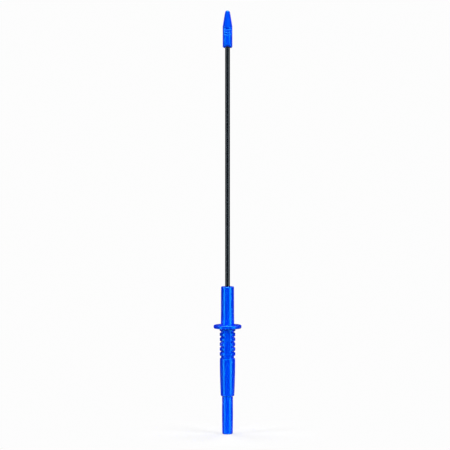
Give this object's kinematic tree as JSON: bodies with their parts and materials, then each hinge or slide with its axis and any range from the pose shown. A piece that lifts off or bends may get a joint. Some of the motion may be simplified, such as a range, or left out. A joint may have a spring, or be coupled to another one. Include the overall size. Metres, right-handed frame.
{
  "type": "flexible shaft test clip probe",
  "caption": "Long thin plunger-type test clip probe: coloured handle with finger guard and ribbed grip, black shaft, nose with sprung claws, rear 4 mm plug socket.",
  "frame": {"origin": "centre of the plunger's rear end face, where the 4 mm plug goes in", "axes": "+Z along the probe towards the nose tip, X across the flat strips of the grip, -Y towards the front strip"},
  "size_m": [0.017, 0.017, 0.2591],
  "materials": {
    "blue_plastic": "satin",
    "black_plastic": "gloss",
    "turned_brass": "satin",
    "spring_steel": "satin",
    "liner_plastic": "satin"
  },
  "bodies": {
    "handle_body": {"nose": "blue_plastic", "tip_bush": "turned_brass", "shaft_sleeve": "black_plastic", "shaft_conduit": "spring_steel", "conduit_liner": "liner_plastic", "barrel_ferrule": "turned_brass", "handle": "blue_plastic", "spring_washer": "spring_steel", "return_spring": "spring_steel", "tail": "blue_plastic"},
    "plunger": {"plunger_sleeve": "blue_plastic", "plug_socket": "turned_brass", "cable_crimp": "turned_brass", "spring_cup": "turned_brass", "push_cable": "spring_steel", "claw_carrier": "turned_brass", "claw_pin": "spring_steel"},
    "left_claw": {"claw_left": "spring_steel"},
    "right_claw": {"claw_right": "spring_steel"}
  },
  "joints": [
    {"name": "plunger_slide", "type": "slide", "parent": "handle_body", "child": "plunger", "axis": [0, 0, 1], "range_m": [0, 0.0065], "stiffness_N_per_m": 420, "springref_m": -0.004, "deforming": ["return_spring"]},
    {"name": "left_claw_turn", "type": "hinge", "parent": "plunger", "child": "left_claw", "pos_m": [0, 0, 0.2504], "axis": [0, -1, 0], "range_deg": [0, 12.5]},
    {"name": "right_claw_turn", "type": "hinge", "parent": "plunger", "child": "right_claw", "pos_m": [0, 0, 0.2504], "axis": [0, 1, 0], "range_deg": [0, 12.5]}
  ],
  "couplings": [
    {"joint": "left_claw_turn", "follows": "plunger_slide", "rad_per_m": 32.2},
    {"joint": "right_claw_turn", "follows": "plunger_slide", "rad_per_m": 32.2}
  ]
}
